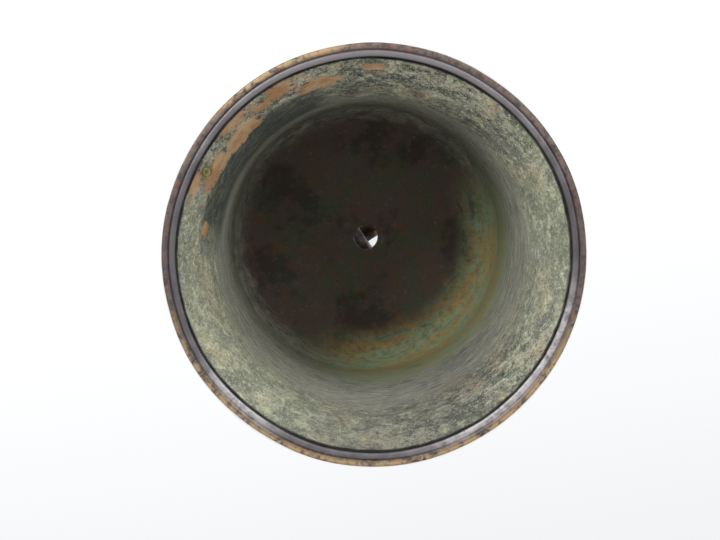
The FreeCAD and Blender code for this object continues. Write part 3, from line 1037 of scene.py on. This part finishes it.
def lipWearAndPaintedLight():
    # a dark smooth roll inside, and a pitted band outside that is rubbed to gold in places, with painted
    # highlights, painted light and painted shade on them, and painted shade in the crevice
    c = lipTones
    material, tree, place = startMaterial("lipWornAndPaintedLight")
    z, reach, azimuth = roundPlace(tree, place)
    noise = clouds(tree, place, c["clouds"])
    middle = noise["middle"]
    # painted shade on two sides of the lip
    dull = widest(tree, azimuth, c["shadeRuns"])
    roll = blend(tree, ease(tree, noise["broad"], *c["rollLightFrom"]), c["roll"], c["rollLight"])
    roll = layCoats(tree, roll, noise, c, "rollCoats")
    roll = blend(tree, times(tree, dull, c["rollShade"]), roll, c["rollDark"])
    # painted light on one side of the roll
    lighter = times(tree, sideMask(tree, azimuth, *c["paintedLightRun"]), c["paintedLightShare"])
    roll = blend(tree, lighter, roll, c["rollLight"])
    # painted highlights on the roll, broken up by the noise
    highlight = times(tree, widest(tree, azimuth, c["highlightRuns"]), ease(tree, middle, *c["highlightBroken"]))
    roll = blend(tree, highlight, roll, c["rollHighlight"])
    band = blend(tree, ease(tree, middle, *c["bandFrom"]), c["bandDark"], c["band"])
    band = layCoats(tree, band, noise, c, "bandCoats")
    valley = lipSizes["valley"][0]
    start, full = c["goldPast"]
    outer = ease(tree, reach, valley + start, valley + full, c["goldInner"], 1.0)
    rubbed = widest(tree, azimuth, c["goldRuns"])
    gold = times(tree, outer, calc(tree, "MULTIPLY_ADD", rubbed, c["goldShare"], c["goldLeast"]))
    height = calc(tree, "MULTIPLY_ADD", middle, c["goldWander"], z)
    gold = times(tree, gold, ease(tree, height, *c["goldHeight"], c["goldHigh"], 1.0))
    band = blend(tree, times(tree, gold, ease(tree, middle, *c["goldBroken"])), band, c["gold"])
    # painted shade on the same two sides of the band
    band = blend(tree, times(tree, dull, c["bandShade"]), band, c["bandDark"])
    band = layCoats(tree, band, noise, c, "topCoats")
    wander = calc(tree, "MULTIPLY_ADD", middle, c["bandWander"], reach)
    start, full = c["bandPast"]
    onBand = ease(tree, wander, valley + start, valley + full)
    base = blend(tree, onBand, roll, band)
    # painted shade in the crevice between the roll and the wall
    seamR = valley - lipSizes["rollWidth"]
    start, full = c["seamShadePast"]
    seamShade = ease(tree, reach, seamR + start, seamR + full)
    seamShade = times(tree, seamShade, ease(tree, z, *c["seamShadeHeight"]))
    base = blend(tree, seamShade, base, c["crevice"])
    roughness = calc(tree, "MULTIPLY_ADD", onBand, c["bandShine"], ease(tree, middle, *c["shine"]))
    bumps = [(times(tree, middle, onBand), c["bandBump"]), (noise["fine"], c["fineBump"])]
    finishMaterial(tree, base, roughness, bumps, metallic=0.25, specular=0.6)
    return material


plugTones = {
    "dull": colour(120, 116, 74), "bright": colour(164, 152, 100), "pit": colour(62, 64, 46),
    "hollow": colour(52, 50, 34), "brightFrom": (0.42, 0.58), "hollowSize": (1.3 * mm, 0.4),
    "hollowShare": 0.7, "clouds": {"middle": (3 * mm, 6.0, 0.7, 0.3), "fine": (0.9 * mm, 4.0, 0.7)},
    "coats": (("fine", 0.5, 0.36, 0.8, "pit"),), "bumps": (("middle", 0.25 * mm), ("fine", 0.12 * mm)),
    "roughness": (0.3, 0.7, 0.6, 0.85),
}


def plugFinish():
    c = plugTones
    material, tree, place = startMaterial("plugBronze")
    noise = clouds(tree, place, c["clouds"])
    base = blend(tree, ease(tree, noise["middle"], *c["brightFrom"]), c["dull"], c["bright"])
    base = layCoats(tree, base, noise, c, "coats")
    hollow = spotMask(tree, place, plugFace, *c["hollowSize"])
    base = blend(tree, times(tree, hollow, c["hollowShare"]), base, c["hollow"])
    roughness = ease(tree, noise["middle"], *c["roughness"])
    finishMaterial(tree, base, roughness, bumpsOf(noise, c["bumps"]), specular=0.3)
    return material


body.data.materials.clear()
body.data.materials.append(outerBronze())
body.data.materials.append(innerPatinaAndPaintedLight())
for face in body.data.polygons:
    face.material_index = 1 if isInside(face.center) else 0
lip.data.materials.append(lipWearAndPaintedLight())
loopPiece.data.materials.append(loopBronze())
ringPiece.data.materials.append(forgedIron())
plugPiece.data.materials.append(plugFinish())
print("stage: finishes")

standsFor = (
    (body, "bell", "body_bronze", "bell_shell"), (lip, "bell", "lip_bronze", "lip_ring"),
    (loopPiece, "bell", "loop_bronze", "hanging_loop"), (ringPiece, "ring", "ring_iron", "hanging_ring"),
    (plugPiece, "bell", "plug_bronze", "casting_plug"))
for piece, rides, slotName, node in standsFor:
    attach(piece, rides)
    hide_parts(node)

stageSizes = {
    "reach": 3.0, "opening": mouthRadius + 0.02 * mm, "drop": 0.1 * mm, "sides": 256,
    "tone": (0.66, 0.665, 0.67, 1), "toneShift": 0.02, "cloud": (0.4, 2.0, 0.5),
}


def makeFloor():
    # a pale floor with a round opening under the mouth, so that the bell can be looked into from below
    s = stageSizes
    deselectAll()
    bpy.ops.mesh.primitive_circle_add(
        vertices=s["sides"], radius=s["opening"], location=(0, 0, -s["drop"]))
    floor = namePiece("floor")
    settle(floor)
    bpy.ops.object.mode_set(mode="EDIT")
    bpy.ops.mesh.select_all(action="SELECT")
    bpy.ops.mesh.extrude_edges_move()
    grow = s["reach"] / s["opening"]
    bpy.ops.transform.resize(value=(grow, grow, 1), center_override=(0, 0, -s["drop"]))
    leaveEdit()
    material, tree, place = startMaterial("paleFloor")
    soft = cloud(tree, place, *s["cloud"])
    lighter = tuple(c + s["toneShift"] for c in s["tone"][:3]) + (1,)
    tone = blend(tree, soft, s["tone"], lighter)
    finishMaterial(tree, tone, 0.75, [(soft, 0.1 * mm)], specular=0.2)
    floor.data.materials.append(material)


viewSizes = {
    "roll": 33.0,               # the loop's direction is turned this far up from level
    "distance": 1.08, "lens": 95.9, "width": 720, "sensor": 36.0,
    "offset": (14.5, 13.7),     # how far the mouth's centre stands right of the middle and above it
    "lean": (-0.0229, 0.071),   # how far the bell's axis leans right and up from the line of sight
}


def makeCamera():
    v = viewSizes
    roll = math.radians(v["roll"])
    right = Vector((math.cos(roll), math.sin(roll), 0))
    up = Vector((math.sin(roll), -math.cos(roll), 0))
    ahead = (Vector((0, 0, 1)) - v["lean"][0] * right - v["lean"][1] * up).normalized()
    right = (right - right.dot(ahead) * ahead).normalized()
    up = (-ahead).cross(right)
    focal = v["lens"] / v["sensor"] * v["width"]
    data = bpy.data.cameras.new("camera")
    data.lens = v["lens"]
    data.sensor_width = v["sensor"]
    camera = bpy.data.objects.new("camera", data)
    bpy.context.scene.collection.objects.link(camera)
    place = -v["distance"] * (ahead + v["offset"][0] / focal * right + v["offset"][1] / focal * up)
    camera.matrix_world = Matrix.Translation(place) @ Matrix((right, up, -ahead)).transposed().to_4x4()
    bpy.context.scene.camera = camera
    return right, up


lightSizes = {
    "world": 0.85,
    "underOut": 0.75, "underDown": 0.6, "underTurn": 45, "underSize": 0.4,
    "underLeft": 6.5, "underRight": 4.0, "underAim": (0, 0, 0.03), "sky": (0.98, 0.99, 1.0, 1),
    "topAim": (0, 0, 0.12),
    # where each top light stands, its size and its strength
    "tops": {"topKey": ((-0.9, -1.1, 1.5), 1.2, 34.0), "topFill": ((1.4, 0.9, 1.0), 1.0, 14.0)},
}


def softLight(name, place, aim, size, power):
    data = bpy.data.lights.new(name, "AREA")
    data.size = size
    data.energy = power
    light = bpy.data.objects.new(name, data)
    bpy.context.scene.collection.objects.link(light)
    light.location = place
    light.rotation_mode = "QUATERNION"
    light.rotation_quaternion = (Vector(aim) - Vector(place)).to_track_quat("-Z", "Y")


def makeLight(right, up):
    s = lightSizes
    world = bpy.data.worlds.new("studio")
    world.use_nodes = True
    sky = world.node_tree.nodes["Background"].inputs
    sky[0].default_value = s["sky"]
    sky[1].default_value = s["world"]
    bpy.context.scene.world = world
    turn = math.radians(s["underTurn"])
    for name, side in (("underLeft", -1), ("underRight", 1)):
        out = up * math.cos(turn) + right * side * math.sin(turn)
        place = s["underOut"] * Vector((out.x, out.y, 0)) - Vector((0, 0, s["underDown"]))
        softLight(name, place, s["underAim"], s["underSize"], s[name])
    for name, (place, size, power) in s["tops"].items():
        softLight(name, place, s["topAim"], size, power)


makeFloor()
right, up = makeCamera()
makeLight(right, up)
bpy.context.scene.view_settings.view_transform = "Standard"
print("stage: floor, camera and light")
